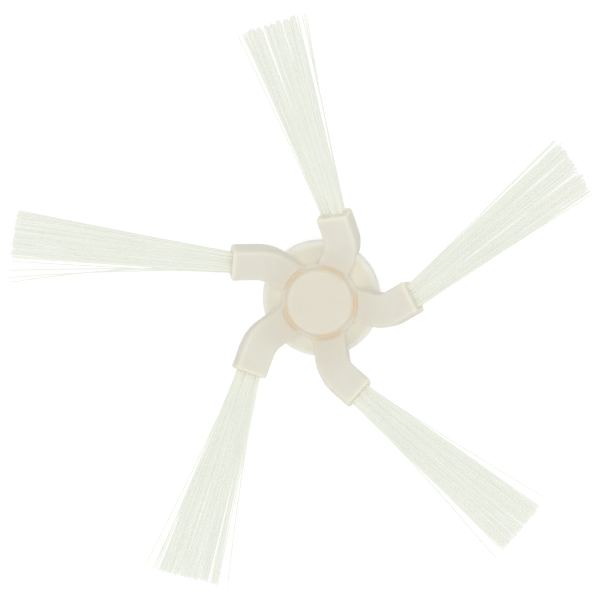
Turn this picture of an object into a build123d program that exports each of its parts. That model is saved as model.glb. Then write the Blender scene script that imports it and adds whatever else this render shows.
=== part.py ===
"""Five-arm side brush for a robot vacuum: one soft moulded hub and five bonded bristle tufts.

Millimetres. The origin lies on the spin axis at the mouth of the drive socket. +Z points from the
motor side to the capped side, and the first arm leaves the hub along +X.
"""

import os
import random
from math import cos, radians, sin, sqrt, tan

from build123d import *

os.makedirs("parts", exist_ok=True)

# Hub body, turned about the spin axis
flange_radius = 15.7
flange_root_height = 6.4
flange_rim_height = 3.8
flange_plate = 1.6
flange_edge_bevel = 0.6
skirt_bottom = 0.6
skirt_wall = 1.4
cap_radius = 8.9
cap_top = 8.5
cap_rim_bevel = 0.7
groove_width = 1.3
groove_floor = 7.0
boss_radius = 7.0

# Drive socket on the motor side: a round lead-in, then the square that takes the spindle
lead_in_radius = 4.0
lead_in_depth = 1.5
socket_side = 5.4
socket_depth = 6.0

# Arms: a steep root at the edge of the groove, a bend, then a flatter sleeve
arm_count = 5
arm_width = 8.8
arm_thickness = 5.2
arm_edge_bevel = 0.5
arm_climb = 42.0
root_length = 14.0
knee_reach = 18.0
knee_height = 12.5
knee_round = 7.8
sleeve_bend = 39.0
sleeve_climb = 18.0
sleeve_length = 9.2
sleeve_edge_bevel = 0.3

# Web that fills the wedge between an arm's root and the flange
web_reach = 15.0
web_width = 5.6

# Pocket in each sleeve, and the fused root that fills its bottom
pocket_width = 6.4
pocket_height = 2.6
pocket_depth = 6.0
root_recess = 0.2

# Filaments, in rows that fan out from the fused root
filament_columns = 12
filament_rows = 5
filament_size = 0.36
filament_length = 56.0
filament_sink = 0.5
filament_margin = 0.34
cut_scatter = 1.5
fan_height = 5.0

# Each tuft drops a little from its sleeve and has its own sideways set, length and spread
tuft_drop = 5.0
tuft_sets = (8.8, 1.0, -6.3, 4.8, 2.4)
tuft_extras = (0.5, -1.0, 1.5, 1.0, -0.5)
fan_widths = (14.5, 16.0, 13.2, 16.2, 14.4)

arm_pitch = 360 / arm_count
plate_bottom = flange_rim_height - flange_plate
groove_radius = cap_radius + groove_width

# Centre line of the first arm, from inside the boss to the mouth of its sleeve
root_way = Vector(cos(radians(arm_climb)), 0, sin(radians(arm_climb)))
sleeve_way = Vector(cos(radians(sleeve_bend)), sin(radians(sleeve_bend)), tan(radians(sleeve_climb))).normalized()
knee = Vector(knee_reach, 0, knee_height)
arm_root = knee - root_way * root_length
sleeve_end = knee + sleeve_way * sleeve_length
with BuildLine() as arm_line:
    FilletPolyline(arm_root, knee, sleeve_end, radius=knee_round)

# The section is level at the root and turns with the bend, so that the sleeve is rolled a little
turn_axis = root_way.cross(sleeve_way).normalized()
lean = turn_axis.Y
mouth_across = turn_axis * lean + turn_axis.cross(sleeve_way) * sqrt(1 - lean**2)
root_plane = Plane(arm_root, x_dir=(0, 1, 0), z_dir=root_way)
mouth_plane = Plane(sleeve_end, x_dir=mouth_across, z_dir=sleeve_way)

with BuildPart() as arm:
    with BuildSketch(root_plane):
        section = Rectangle(arm_width, arm_thickness)
        chamfer(section.vertices(), arm_edge_bevel)
    sweep(path=arm_line.line)
    chamfer(arm.faces().sort_by_distance(sleeve_end)[0].edges(), sleeve_edge_bevel)
    with BuildSketch(Plane.XZ):
        with BuildLine():
            Polyline(
                (arm_root.X, arm_root.Z),
                (web_reach, plate_bottom),
                (web_reach, arm_root.Z + (web_reach - arm_root.X) * tan(radians(arm_climb))),
                close=True,
            )
        make_face()
    extrude(amount=web_width / 2, both=True)
    with BuildSketch(mouth_plane):
        Rectangle(pocket_width, pocket_height)
    extrude(amount=-pocket_depth, mode=Mode.SUBTRACT)
    Cylinder(groove_radius, 2 * knee_height, mode=Mode.SUBTRACT)
    split(bisect_by=Plane.XY.offset(plate_bottom), keep=Keep.TOP)

with BuildPart() as hub:
    with BuildSketch(Plane.XZ) as profile:
        with BuildLine():
            Polyline(
                (0, 0),
                (boss_radius, 0),
                (boss_radius, plate_bottom),
                (flange_radius - skirt_wall, plate_bottom),
                (flange_radius - skirt_wall, skirt_bottom),
                (flange_radius, skirt_bottom),
                (flange_radius, flange_rim_height),
                (groove_radius, flange_root_height),
                (groove_radius, groove_floor),
                (cap_radius, groove_floor),
                (cap_radius, cap_top),
                (0, cap_top),
                close=True,
            )
        make_face()
        corners = profile.vertices()
        chamfer(corners.sort_by_distance((cap_radius, cap_top))[0], cap_rim_bevel)
        chamfer(corners.sort_by_distance((flange_radius, flange_rim_height))[0], flange_edge_bevel)
    revolve(axis=Axis.Z)
    with PolarLocations(0, arm_count):
        add(arm.part)
    with BuildSketch():
        Circle(lead_in_radius)
    extrude(amount=lead_in_depth, mode=Mode.SUBTRACT)
    with BuildSketch():
        Rectangle(socket_side, socket_side)
    extrude(amount=socket_depth, mode=Mode.SUBTRACT)

hub.part.label = "hub"
export_step(hub.part, "parts/hub.step")

# Roots of the filaments lie in a staggered grid on the front of the fused root
root_front = mouth_plane.offset(-root_recess)
root_half_width = pocket_width / 2 - filament_margin - filament_size / 2
root_half_height = pocket_height / 2 - filament_margin - filament_size / 2
random.seed(5)

for number in range(arm_count):
    length = filament_length + tuft_extras[number]
    with BuildPart() as filament:
        with BuildSketch():
            RegularPolygon(filament_size / 2, 4)
        extrude(amount=length)

    planes = []
    for row in range(filament_rows):
        up = 2 * row / (filament_rows - 1) - 1
        for column in range(filament_columns):
            side = 2 * (column + 0.5 * (row % 2)) / (filament_columns - 0.5) - 1
            sink = filament_sink + random.uniform(0, cut_scatter)
            foot = Vector(side * root_half_width, up * root_half_height, 0)
            tip = Vector(side * fan_widths[number] / 2, up * fan_height / 2, length).rotate(Axis.X, tuft_drop)
            way = root_front.from_local_coords(tip) - root_front.from_local_coords(foot)
            way = way.normalized().rotate(Axis.Z, tuft_sets[number])
            start = root_front.from_local_coords(foot) - way * sink
            planes.append(Plane(start, x_dir=mouth_across, z_dir=way))

    with BuildPart() as tuft:
        with BuildSketch(root_front):
            Rectangle(pocket_width, pocket_height)
        extrude(amount=root_recess - pocket_depth)
        with Locations(planes):
            add(filament.part)

    tuft.part.label = f"tuft_{number + 1}"
    export_step(tuft.part.rotate(Axis.Z, number * arm_pitch), f"parts/tuft_{number + 1}.step")
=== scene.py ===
"""Looks of the robot vacuum side brush: a soft moulded hub and five tufts of nylon filaments.

Metres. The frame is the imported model's own: the spin axis is Z, and the capped side faces up.
"""

from math import atan, cos, radians, sin, sqrt, tan

import bmesh
import bpy
from mathutils import Matrix, Vector


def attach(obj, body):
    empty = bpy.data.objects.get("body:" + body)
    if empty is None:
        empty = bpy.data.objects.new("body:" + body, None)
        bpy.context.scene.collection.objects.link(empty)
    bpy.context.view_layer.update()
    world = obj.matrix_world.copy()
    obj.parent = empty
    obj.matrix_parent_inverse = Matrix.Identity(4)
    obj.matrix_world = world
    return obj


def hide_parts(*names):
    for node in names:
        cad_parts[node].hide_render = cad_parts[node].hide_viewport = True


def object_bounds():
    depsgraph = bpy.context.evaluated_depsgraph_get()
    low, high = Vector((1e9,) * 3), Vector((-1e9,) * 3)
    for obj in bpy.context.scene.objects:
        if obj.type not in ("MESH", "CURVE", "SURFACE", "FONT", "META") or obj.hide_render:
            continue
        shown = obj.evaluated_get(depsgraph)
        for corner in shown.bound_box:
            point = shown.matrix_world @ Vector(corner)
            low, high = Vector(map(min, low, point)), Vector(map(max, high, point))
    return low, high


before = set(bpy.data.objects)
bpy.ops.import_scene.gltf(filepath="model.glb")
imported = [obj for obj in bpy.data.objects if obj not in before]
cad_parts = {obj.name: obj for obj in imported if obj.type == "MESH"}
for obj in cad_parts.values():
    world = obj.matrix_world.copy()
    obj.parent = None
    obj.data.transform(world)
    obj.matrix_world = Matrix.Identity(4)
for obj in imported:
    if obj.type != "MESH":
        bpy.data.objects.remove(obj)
cad_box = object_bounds()

MM = 0.001

# Hub: how finely its skin is laid and how far its moulded edges are rounded
WELD_DISTANCE = 0.001 * MM
SKIN_CELL = 0.3 * MM
ROUND_PASSES = 9
ROUND_FACTOR = 0.5

# First arm, as the hub carries it: a knee, and a sleeve that turns off sideways from there
ARM_COUNT = 5
ARM_CLIMB = radians(42.0)
KNEE = Vector((18.0, 0.0, 12.5)) * MM
SLEEVE_BEND = radians(39.0)
SLEEVE_CLIMB = radians(18.0)
SLEEVE_LENGTH = 9.2 * MM
POCKET_WIDTH = 6.4 * MM
POCKET_HEIGHT = 2.6 * MM
POCKET_DEPTH = 6.0 * MM
ROOT_RECESS = 0.2 * MM
MOUTH_BAND = 0.8 * MM

# Colour zones of the hub: each fades in from the first distance or height to the second
CAP_WARMTH = (17.0 * MM, 10.0 * MM)
PLATE_INNER = (9.9 * MM, 11.0 * MM)
PLATE_OUTER = (17.0 * MM, 16.0 * MM)
PLATE_TOP = (7.6 * MM, 6.0 * MM)
RIM_INNER = (13.6 * MM, 15.6 * MM)
RIM_BOTTOM = (1.0 * MM, 3.6 * MM)
RIM_TOP = (5.6 * MM, 4.6 * MM)
SEAM_INNER = (10.0 * MM, 10.8 * MM)
SEAM_OUTER = (19.0 * MM, 16.0 * MM)

# Shade in the hub's inner corners, found by ambient occlusion: how far it is felt, and where the painted
# crease glow and painted seam light fade in with it
SHELTER_REACH = 3.5 * MM
CREASE_SHELTER = (0.2, 0.55)
SEAM_SHELTER = (0.15, 0.45)

# Colours of the hub, in the values that a screen shows, and tints: how strongly each covers, and its colour
ARM_CREAM = (227, 225, 213)
CAP_CREAM = (227, 222, 208)
PLATE_TINT = (0.9, (239, 236, 220))
CLOUD_TINT = (0.4, (223, 219, 206))
# Painted light: a warm glow painted into the shaded creases by the cap
PAINTED_CREASE_GLOW = (0.5, (250, 234, 210))
# Painted light: the flange's thin rim painted paler, as if lit through
PAINTED_RIM_GLOW = (0.7, (248, 249, 243))
# Painted light: a pale tint that lifts the shade out of the seams where the arms meet the flange
PAINTED_SEAM_LIGHT = (0.85, (250, 246, 232))
MOUTH_TINT = (0.6, (238, 233, 211))

# Colours and tints of the filaments, in the same values
DULL_NYLON = (239, 242, 229)
CLEAR_NYLON = (244, 246, 235)
HAZE_TINT = (0.35, (235, 241, 228))
OUTER_TINT = (0.4, (250, 252, 243))
ROOT_TINT = (0.5, (247, 245, 229))
CUT_TINT = (0.5, (252, 252, 248))

# Where noise fades in as clouds and haze, and the filaments' ends as shares of their length
CLOUD_NOISE = (0.35, 0.7)
HAZE_NOISE = (0.4, 0.7)
MILKY_ROOT = (0.12, 0.0)
FROSTED_CUT = (0.975, 1.0)

# Filaments, alike in every tuft
FILAMENT_COUNT = 140
FILAMENT_RADIUS = 0.16 * MM
FILAMENT_SIDES = 6
FILAMENT_POINTS = 7
FILAMENT_MARGIN = 0.3 * MM
FILAMENT_LENGTH = 56.0 * MM
FILAMENT_SINK = 0.5 * MM
FILAMENT_WANDER = 0.7 * MM
CUT_SCATTER = 0.7 * MM
FAN_HEIGHT = 5.0 * MM
TUFT_DROP = radians(5.0)

# What differs from tuft to tuft, in degrees, millimetres and counts; left and right as seen from the tips
TUFT_SETS = (9.1, 1.5, -6.3, 4.8, 2.4)
TUFT_EXTRAS = (0.5, -1.0, 1.5, 1.0, -0.5)
FAN_WIDTHS = (14.5, 16.0, 13.2, 16.2, 14.4)
CUTS_LEFT = (0.8, 0.6, 0.2, 0.0, 0.2)
CUTS_RIGHT = (0.2, 2.2, 0.2, 0.2, 0.1)
STRAYS_LEFT = (1, 1, 0, 3, 1)
STRAYS_RIGHT = (1, 0, 4, 2, 2)
STRAY_SPREADS = (1.2, 1.4, 10.0, 3.2, 2.8)

# How filaments share out a tuft's width, how they bow, and how strays leave it
GOLDEN_SHARE = 0.618034
SEED_SHARE = 0.37
SEED_STREAMS = 20
SIDE_JITTER = 0.03
BOW_SHARE = 0.4
STRAY_SIDE = 0.92
STRAY_CURVE = 1.7
STRAY_GROWTH = 1.7
STRAY_JITTER = 0.1

# Camera: it looks down on the capped side, a little off the spin axis
HUB_MIDDLE = Vector((0.0, 0.0, 2.3 * MM))
VIEW_TILT = radians(13.0)
VIEW_SIDE = radians(64.5)
VIEW_TURN = radians(4.6)
VIEW_DISTANCE = 540 * MM
VIEW_WIDTH = 160.02 * MM
HUB_RIGHT = 5.734 * MM
HUB_UP = 0.48 * MM

# Light: an even room, one panel overhead with its power in watts, and a floor that looks white
ROOM_LIGHT = 0.81
PANEL_WIDTH = 2.4
PANEL_HEIGHT = 1.0
PANEL_POWER = 5.0
FLOOR_HALF = 1.5
FLOOR_PAPER = (0.82, 0.82, 0.82, 1.0)
FLOOR_SHADE = (0.4, 0.4, 0.4, 1.0)
FLOOR_GLOW = 0.7


def linear(colour):
    """A colour given as the eight-bit values that a screen shows, as the shader takes it."""
    shares = [value / 255 for value in colour]
    curve = [s / 12.92 if s <= 0.04045 else ((s + 0.055) / 1.055) ** 2.4 for s in shares]
    return (*curve, 1.0)


class Wire:
    """A socket in a node tree: operators on it add Math nodes, and node() adds any other node."""

    def __init__(self, tree, socket=None):
        self.tree = tree
        self.socket = socket

    def node(self, kind, settings=None, values=None, out=0):
        """Add a node with its settings, fill its sockets with values or wires, and return one output."""
        made = self.tree.nodes.new(kind)
        for name, setting in (settings or {}).items():
            setattr(made, name, setting)
        for key, value in (values or {}).items():
            if isinstance(value, Wire):
                self.tree.links.new(value.socket, made.inputs[key])
            else:
                made.inputs[key].default_value = value
        return Wire(self.tree, made.outputs[out] if made.outputs else None)

    def math(self, operation, *values):
        """Add a Math node on numbers or wires."""
        return self.node("ShaderNodeMath", {"operation": operation}, dict(enumerate(values)))

    def __add__(self, other):
        return self.math("ADD", self, other)

    def __radd__(self, other):
        return self.math("ADD", other, self)

    def __sub__(self, other):
        return self.math("SUBTRACT", self, other)

    def __rsub__(self, other):
        return self.math("SUBTRACT", other, self)

    def __mul__(self, other):
        return self.math("MULTIPLY", self, other)

    def __rmul__(self, other):
        return self.math("MULTIPLY", other, self)

    def __truediv__(self, other):
        return self.math("DIVIDE", self, other)

    def __rtruediv__(self, other):
        return self.math("DIVIDE", other, self)

    def __pow__(self, other):
        return self.math("POWER", self, other)

    def __rpow__(self, other):
        return self.math("POWER", other, self)

    def rise(self, low, high):
        """0 up to low, 1 from high on, and a soft step between. With low above high it falls."""
        values = {"Value": self, "From Min": low, "From Max": high}
        return self.node("ShaderNodeMapRange", {"interpolation_type": "SMOOTHSTEP"}, values)

    def mix(self, below, above):
        """The colour below where this wire is 0, and the colour above where it is 1."""
        # Numbers pick the Mix node's colour sockets, because its names repeat
        values = {0: self, 6: below, 7: above}
        return self.node("ShaderNodeMix", {"data_type": "RGBA"}, values, out=2)


def tinted(colour, tints):
    """Lay tints over a colour one after another, each in its own zone and as strongly as it covers."""
    for zone, (strength, tint) in tints:
        colour = (zone * strength).mix(colour, linear(tint))
    return colour


def new_material(name):
    """An empty material, and a wire to add nodes with."""
    material = bpy.data.materials.new(name)
    material.use_nodes = True
    material.node_tree.nodes.clear()
    return material, Wire(material.node_tree)


def elastomer_material():
    """Cream translucent rubber: warmer by the cap and paler on the flange, with painted light: a warm glow
    in the shaded creases, a paler thin rim, and shade lifted out of the seams.
    """
    material, wire = new_material("cream_elastomer")
    place = wire.node("ShaderNodeTexCoord", out="Object")
    split = wire.node("ShaderNodeSeparateXYZ", values={"Vector": place}).socket.node.outputs
    across, along, height = (Wire(wire.tree, socket) for socket in split)
    reach = (across * across + along * along) ** 0.5

    cloud = wire.node("ShaderNodeTexNoise", values={"Vector": place, "Scale": 160.0, "Detail": 3.0})
    grain = wire.node("ShaderNodeTexNoise", values={"Vector": place, "Scale": 2600.0, "Detail": 2.0})
    openness = wire.node(
        "ShaderNodeAmbientOcclusion",
        {"samples": 16, "only_local": True},
        {"Distance": SHELTER_REACH},
        out="AO",
    )
    shelter = 1 - openness
    mouth = wire.node("ShaderNodeAttribute", {"attribute_name": "mouth"}, out="Fac")

    near_cap = reach.rise(*CAP_WARMTH)
    plate = reach.rise(*PLATE_INNER) * reach.rise(*PLATE_OUTER) * height.rise(*PLATE_TOP)
    upper_rim = height.rise(*RIM_BOTTOM) * height.rise(*RIM_TOP)
    # Painted light: the thin rim of the flange is painted paler, as if lit through
    painted_rim_glow = reach.rise(*RIM_INNER) * upper_rim
    # Painted light: a warm glow painted where the creases by the cap lie in shade
    painted_crease_glow = shelter.rise(*CREASE_SHELTER) * near_cap
    # Painted light: a pale tint that lifts the shade out of the seams where the arms meet the flange
    painted_seam_light = shelter.rise(*SEAM_SHELTER) * reach.rise(*SEAM_INNER) * reach.rise(*SEAM_OUTER)
    tints = (
        (plate, PLATE_TINT),
        (cloud.rise(*CLOUD_NOISE), CLOUD_TINT),
        (painted_crease_glow, PAINTED_CREASE_GLOW),
        (painted_rim_glow, PAINTED_RIM_GLOW),
        (painted_seam_light, PAINTED_SEAM_LIGHT),
        (mouth, MOUTH_TINT),
    )

    bump = wire.node("ShaderNodeBump", values={"Strength": 0.12, "Distance": 0.05 * MM, "Height": grain})
    shader = wire.node(
        "ShaderNodeBsdfPrincipled",
        {"subsurface_method": "RANDOM_WALK"},
        {
            "Base Color": tinted(near_cap.mix(linear(ARM_CREAM), linear(CAP_CREAM)), tints),
            "Roughness": 0.46 + grain * 0.16,
            "Normal": bump,
            "IOR": 1.45,
            "Specular IOR Level": 0.35,
            "Subsurface Weight": 0.6,
            "Subsurface Radius": (1.0, 0.93, 0.8),
            "Subsurface Scale": 2.2 * MM,
        },
    )
    wire.node("ShaderNodeOutputMaterial", values={"Surface": shader})
    return material


def nylon_material():
    """Clear whitish filament: each one has its own tone, a milky root and a frosted cut end."""
    material, wire = new_material("clear_nylon")
    tone = wire.node("ShaderNodeAttribute", {"attribute_name": "tone"}, out="Fac")
    reach = wire.node("ShaderNodeAttribute", {"attribute_name": "reach"}, out="Fac")
    place = wire.node("ShaderNodeTexCoord", out="Object")
    haze = wire.node("ShaderNodeTexNoise", values={"Vector": place, "Scale": 120.0, "Detail": 2.0})
    tints = (
        (haze.rise(*HAZE_NOISE), HAZE_TINT),
        (reach, OUTER_TINT),
        (reach.rise(*MILKY_ROOT), ROOT_TINT),
        (reach.rise(*FROSTED_CUT), CUT_TINT),
    )
    shader = wire.node(
        "ShaderNodeBsdfPrincipled",
        values={
            "Base Color": tinted(tone.mix(linear(DULL_NYLON), linear(CLEAR_NYLON)), tints),
            "Roughness": 0.5 + tone * 0.12,
            "IOR": 1.53,
            "Specular IOR Level": 0.1,
        },
    )
    wire.node("ShaderNodeOutputMaterial", values={"Surface": shader})
    return material


def soft_hub():
    """The hub's own form with its bevels and inner corners rounded as a soft moulding has them."""
    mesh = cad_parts["hub"].data.copy()
    skin = bmesh.new()
    skin.from_mesh(mesh)
    bmesh.ops.remove_doubles(skin, verts=skin.verts, dist=WELD_DISTANCE)
    skin.to_mesh(mesh)
    skin.free()
    piece = bpy.data.objects.new("moulded_hub", mesh)
    bpy.context.scene.collection.objects.link(piece)
    cells = piece.modifiers.new("cells", "REMESH")
    cells.mode = "VOXEL"
    cells.voxel_size = SKIN_CELL
    rounds = piece.modifiers.new("rounds", "SMOOTH")
    rounds.factor = ROUND_FACTOR
    rounds.iterations = ROUND_PASSES
    settle(piece)
    mark_mouths(piece.data)
    piece.data.materials.clear()
    piece.data.materials.append(elastomer_material())
    return piece


def mark_mouths(mesh):
    """Store on the hub's points how close each one lies to the open end of a sleeve."""
    near = [0.0] * len(mesh.vertices)
    for number in range(ARM_COUNT):
        to_mouth = tuft_frame(number).inverted()
        for vertex in mesh.vertices:
            place = to_mouth @ vertex.co
            if place.z > -MOUTH_BAND and max(abs(place.x), abs(place.y)) < POCKET_WIDTH:
                near[vertex.index] = min(1.0, 1 + place.z / MOUTH_BAND)
    mesh.attributes.new("mouth", "FLOAT", "POINT").data.foreach_set("value", near)


def settle(piece):
    """Turn what a piece's modifiers make into its own plain mesh, shaded smooth."""
    depsgraph = bpy.context.evaluated_depsgraph_get()
    mesh = bpy.data.meshes.new_from_object(piece.evaluated_get(depsgraph))
    piece.modifiers.clear()
    piece.data = mesh
    mesh.shade_smooth()


TUFT_INPUTS = {
    "Count": "NodeSocketInt",
    "Radius": "NodeSocketFloat",
    "Root Width": "NodeSocketFloat",
    "Root Height": "NodeSocketFloat",
    "Tip Width": "NodeSocketFloat",
    "Tip Height": "NodeSocketFloat",
    "Length": "NodeSocketFloat",
    "Cut Scatter": "NodeSocketFloat",
    "Cut Left": "NodeSocketFloat",
    "Cut Right": "NodeSocketFloat",
    "Sink": "NodeSocketFloat",
    "Wander": "NodeSocketFloat",
    "Strays Left": "NodeSocketInt",
    "Strays Right": "NodeSocketInt",
    "Stray Spread": "NodeSocketFloat",
    "Plug Width": "NodeSocketFloat",
    "Plug Height": "NodeSocketFloat",
    "Plug Depth": "NodeSocketFloat",
    "Seed": "NodeSocketInt",
    "Material": "NodeSocketMaterial",
}


def tuft_tree():
    """Geometry Nodes for one tuft: filaments that fan out along +Z from a fused root below them."""
    tree = bpy.data.node_groups.new("filament_tuft", "GeometryNodeTree")
    for name, kind in TUFT_INPUTS.items():
        tree.interface.new_socket(name=name, in_out="INPUT", socket_type=kind)
    tree.interface.new_socket(name="Tuft", in_out="OUTPUT", socket_type="NodeSocketGeometry")
    wire = Wire(tree)
    given = wire.node("NodeGroupInput").socket.node.outputs
    size = {name: Wire(tree, given[name]) for name in TUFT_INPUTS}

    line = wire.node("GeometryNodeCurvePrimitiveLine", values={"End": (0.0, 0.0, 1.0)})
    line = wire.node("GeometryNodeResampleCurve", values={"Curve": line, "Count": FILAMENT_POINTS})
    copies = wire.node(
        "GeometryNodeDuplicateElements",
        {"domain": "SPLINE"},
        {"Geometry": line, "Amount": size["Count"]},
    )
    number = Wire(tree, copies.socket.node.outputs["Duplicate Index"])
    along = wire.node("GeometryNodeSplineParameter")

    def draw(low, high, order):
        """A random number for each filament, from the stream of that order."""
        # Numbers pick the node's plain number sockets, because its names repeat
        values = {2: low, 3: high, "ID": number, "Seed": size["Seed"] * SEED_STREAMS + order}
        return wire.node("FunctionNodeRandomValue", {"data_type": "FLOAT"}, values, out=1)

    # The first few filaments stray to the left, the last few to the right, and the rest fill the width
    first_right = size["Count"] - size["Strays Right"]
    is_right = wire.math("GREATER_THAN", number, first_right - 0.5)
    is_left = wire.math("LESS_THAN", number, size["Strays Left"] - 0.5)
    stray = is_right - is_left
    kept = 1 - is_right - is_left
    spread = wire.math("FRACT", number * GOLDEN_SHARE + size["Seed"] * SEED_SHARE) * 2 - 1
    side = kept * (spread + draw(-SIDE_JITTER, SIDE_JITTER, 1)) + stray * STRAY_SIDE
    rise = draw(-1.0, 1.0, 2)
    bow = along * (1 - along) * 4

    across = side * size["Root Width"] / 2
    across = across + along * side * (size["Tip Width"] - size["Root Width"]) / 2
    across = across + along * draw(-1.0, 1.0, 3) * size["Wander"]
    across = across + bow * draw(-BOW_SHARE, BOW_SHARE, 4) * size["Wander"]
    rank = is_right * (number - first_right + 1) / wire.math("MAXIMUM", size["Strays Right"], 1)
    rank = rank + is_left * (number + 1) / wire.math("MAXIMUM", size["Strays Left"], 1)
    leaving = rank**STRAY_GROWTH + draw(0.0, STRAY_JITTER, 5)
    across = across + along**STRAY_CURVE * stray * leaving * size["Stray Spread"]
    upward = rise * size["Root Height"] / 2
    upward = upward + along * rise * (size["Tip Height"] - size["Root Height"]) / 2
    upward = upward + along * draw(-1.0, 1.0, 6) * size["Wander"]
    length = size["Length"] - draw(0.0, 1.0, 7) * size["Cut Scatter"]
    length = length - size["Cut Left"] * (1 - side) / 2 - size["Cut Right"] * (1 + side) / 2
    forward = along * length - size["Sink"]

    place = wire.node("ShaderNodeCombineXYZ", values={"X": across, "Y": upward, "Z": forward})
    curves = wire.node("GeometryNodeSetPosition", values={"Geometry": copies, "Position": place})
    curves = note(curves, "tone", draw(0.0, 1.0, 8))
    curves = note(curves, "reach", along)
    ring = wire.node(
        "GeometryNodeCurvePrimitiveCircle",
        values={"Resolution": FILAMENT_SIDES, "Radius": size["Radius"]},
    )
    filaments = wire.node(
        "GeometryNodeCurveToMesh",
        values={"Curve": curves, "Profile Curve": ring, "Fill Caps": True},
    )

    block = wire.node(
        "ShaderNodeCombineXYZ",
        values={"X": size["Plug Width"], "Y": size["Plug Height"], "Z": size["Plug Depth"]},
    )
    plug = wire.node("GeometryNodeMeshCube", values={"Size": block})
    below = wire.node("ShaderNodeCombineXYZ", values={"Z": size["Plug Depth"] * -0.5})
    plug = wire.node("GeometryNodeSetPosition", values={"Geometry": plug, "Offset": below})
    plug = note(note(plug, "tone", 0.5), "reach", 0.0)

    joined = wire.node("GeometryNodeJoinGeometry", values={"Geometry": plug})
    tree.links.new(filaments.socket, joined.socket.node.inputs["Geometry"])
    whole = wire.node("GeometryNodeRealizeInstances", values={"Geometry": joined})
    whole = wire.node("GeometryNodeSetMaterial", values={"Geometry": whole, "Material": size["Material"]})
    wire.node("NodeGroupOutput", values={"Tuft": whole})
    return tree


def note(geometry, name, value):
    """Store a number on each point under a name that the material reads."""
    settings = {"data_type": "FLOAT", "domain": "POINT"}
    values = {"Geometry": geometry, "Name": name, "Value": value}
    return geometry.node("GeometryNodeStoreNamedAttribute", settings, values)


def tuft_frame(number):
    """Matrix from a tuft's own frame, with +Z along its filaments, to the part's frame."""
    root_way = Vector((cos(ARM_CLIMB), 0, sin(ARM_CLIMB)))
    sleeve_way = Vector((cos(SLEEVE_BEND), sin(SLEEVE_BEND), tan(SLEEVE_CLIMB))).normalized()
    turn_axis = root_way.cross(sleeve_way).normalized()
    lean = turn_axis.y
    mouth_across = turn_axis * lean + turn_axis.cross(sleeve_way) * sqrt(1 - lean**2)
    mouth_up = sleeve_way.cross(mouth_across)
    root_front = KNEE + sleeve_way * (SLEEVE_LENGTH - ROOT_RECESS)
    axes = Matrix((mouth_across, mouth_up, sleeve_way)).transposed().to_4x4()
    arm_turn = Matrix.Rotation(number * radians(360 / ARM_COUNT), 4, "Z")
    return arm_turn @ Matrix.Translation(root_front) @ axes


def tuft(number, tree, material):
    """One tuft of filaments, grown from its fused root and set into its sleeve."""
    sizes = {
        "Count": FILAMENT_COUNT,
        "Radius": FILAMENT_RADIUS,
        "Root Width": POCKET_WIDTH - 2 * FILAMENT_MARGIN,
        "Root Height": POCKET_HEIGHT - 2 * FILAMENT_MARGIN,
        "Tip Width": FAN_WIDTHS[number] * MM,
        "Tip Height": FAN_HEIGHT,
        "Length": FILAMENT_LENGTH + TUFT_EXTRAS[number] * MM,
        "Cut Scatter": CUT_SCATTER,
        "Cut Left": CUTS_LEFT[number] * MM,
        "Cut Right": CUTS_RIGHT[number] * MM,
        "Sink": FILAMENT_SINK,
        "Wander": FILAMENT_WANDER,
        "Strays Left": STRAYS_LEFT[number],
        "Strays Right": STRAYS_RIGHT[number],
        "Stray Spread": STRAY_SPREADS[number] * MM,
        "Plug Width": POCKET_WIDTH,
        "Plug Height": POCKET_HEIGHT,
        "Plug Depth": POCKET_DEPTH - ROOT_RECESS,
        "Seed": number + 1,
        "Material": material,
    }
    name = f"filaments_{number + 1}"
    piece = bpy.data.objects.new(name, bpy.data.meshes.new(name))
    bpy.context.scene.collection.objects.link(piece)
    grow = piece.modifiers.new("grow", "NODES")
    grow.node_group = tree
    for socket in tree.interface.items_tree:
        if socket.in_out == "INPUT":
            grow[socket.identifier] = sizes[socket.name]
    settle(piece)

    # Clear filaments pass room light on instead of stopping it
    piece.visible_diffuse = False

    # The fused root stays straight in its pocket, and the filaments take the tuft's drop and set
    place = tuft_frame(number)
    drop = Matrix.Rotation(TUFT_DROP, 4, "X")
    swing = Matrix.Rotation(radians(TUFT_SETS[number]), 4, "Z")
    foot = Matrix.Translation(place.translation)
    fan = foot @ swing @ foot.inverted() @ place @ drop
    reach = piece.data.attributes["reach"].data
    for vertex in piece.data.vertices:
        off_the_feet = abs(vertex.co.z + FILAMENT_SINK) > FILAMENT_SINK / 2
        on_root = reach[vertex.index].value == 0 and off_the_feet
        vertex.co = (place if on_root else fan) @ vertex.co
    return piece


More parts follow.
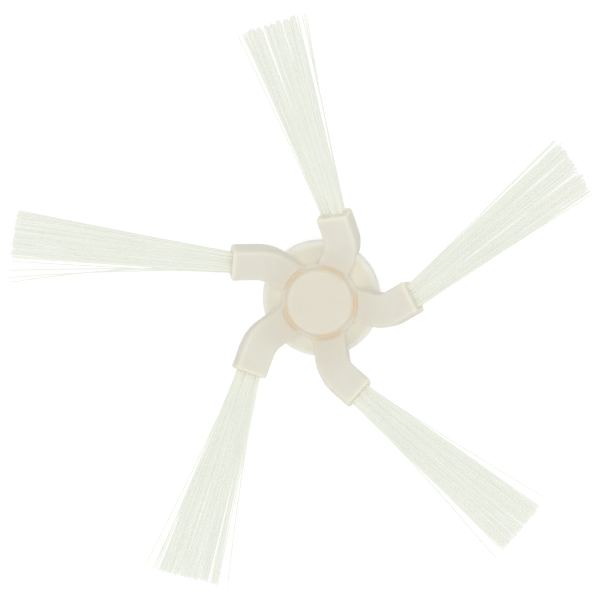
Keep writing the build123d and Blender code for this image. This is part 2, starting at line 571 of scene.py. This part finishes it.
def studio():
    """Pale floor, even room light and one large panel overhead."""
    height = cad_box[0][2]
    signs = ((-1, -1), (1, -1), (1, 1), (-1, 1))
    corners = [(x * FLOOR_HALF, y * FLOOR_HALF, height) for x, y in signs]
    floor_mesh = bpy.data.meshes.new("floor")
    floor_mesh.from_pydata(corners, [], [(0, 1, 2, 3)])
    floor = bpy.data.objects.new("floor", floor_mesh)
    bpy.context.scene.collection.objects.link(floor)
    material, wire = new_material("white_sweep")
    path = wire.node("ShaderNodeLightPath").socket.node.outputs
    seen = Wire(wire.tree, path["Is Camera Ray"])
    for name in ("Is Glossy Ray", "Is Transmission Ray"):
        seen = wire.math("MAXIMUM", seen, Wire(wire.tree, path[name]))
    paper = wire.node("ShaderNodeBsdfDiffuse", values={"Color": FLOOR_PAPER})
    shade = wire.node("ShaderNodeBsdfDiffuse", values={"Color": FLOOR_SHADE})
    glow = wire.node("ShaderNodeEmission", values={"Strength": FLOOR_GLOW})
    white = wire.node("ShaderNodeAddShader", values={0: shade, 1: glow})
    sweep = wire.node("ShaderNodeMixShader", values={0: seen, 1: paper, 2: white})
    wire.node("ShaderNodeOutputMaterial", values={"Surface": sweep})
    floor_mesh.materials.append(material)

    world = bpy.data.worlds.new("soft_room")
    world.use_nodes = True
    world.node_tree.nodes.clear()
    wire = Wire(world.node_tree)
    white_light = {"Color": (1.0, 1.0, 1.0, 1.0), "Strength": ROOM_LIGHT}
    room = wire.node("ShaderNodeBackground", values=white_light)
    wire.node("ShaderNodeOutputWorld", values={"Surface": room})
    bpy.context.scene.world = world

    panel = bpy.data.lights.new("ceiling_panel", "AREA")
    panel.shape = "DISK"
    panel.size = PANEL_WIDTH
    panel.energy = PANEL_POWER
    lamp = bpy.data.objects.new("ceiling_panel", panel)
    lamp.location.z = PANEL_HEIGHT
    bpy.context.scene.collection.objects.link(lamp)


def camera():
    """The view from above the cap, tilted towards one side and framed as a square picture."""
    side_way = Vector((cos(VIEW_SIDE), sin(VIEW_SIDE), 0))
    level = Vector((-sin(VIEW_SIDE), cos(VIEW_SIDE), 0))
    upright = Vector((0, 0, 1))
    toward = side_way * sin(VIEW_TILT) + upright * cos(VIEW_TILT)
    down_tilt = side_way * cos(VIEW_TILT) - upright * sin(VIEW_TILT)
    right = down_tilt * cos(VIEW_SIDE) - level * sin(VIEW_SIDE)
    up = down_tilt * sin(VIEW_SIDE) + level * cos(VIEW_SIDE)
    pose = Matrix((right, up, toward)).transposed().to_4x4()
    pose.translation = HUB_MIDDLE + toward * VIEW_DISTANCE - right * HUB_RIGHT - up * HUB_UP
    lens = bpy.data.cameras.new("camera")
    lens.sensor_fit = "HORIZONTAL"
    lens.angle = 2 * atan(VIEW_WIDTH / 2 / VIEW_DISTANCE)
    lens.clip_start = 0.01
    eye = bpy.data.objects.new("camera", lens)
    bpy.context.scene.collection.objects.link(eye)
    eye.matrix_world = Matrix.Rotation(VIEW_TURN, 4, "Z") @ pose
    bpy.context.scene.camera = eye


camera()
studio()
bpy.context.scene.view_settings.view_transform = "Standard"

hub = soft_hub()
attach(hub, "root")
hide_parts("hub")

tree = tuft_tree()
nylon = nylon_material()
for number in range(ARM_COUNT):
    filaments = tuft(number, tree, nylon)
    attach(filaments, "root")
    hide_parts(f"tuft_{number + 1}")
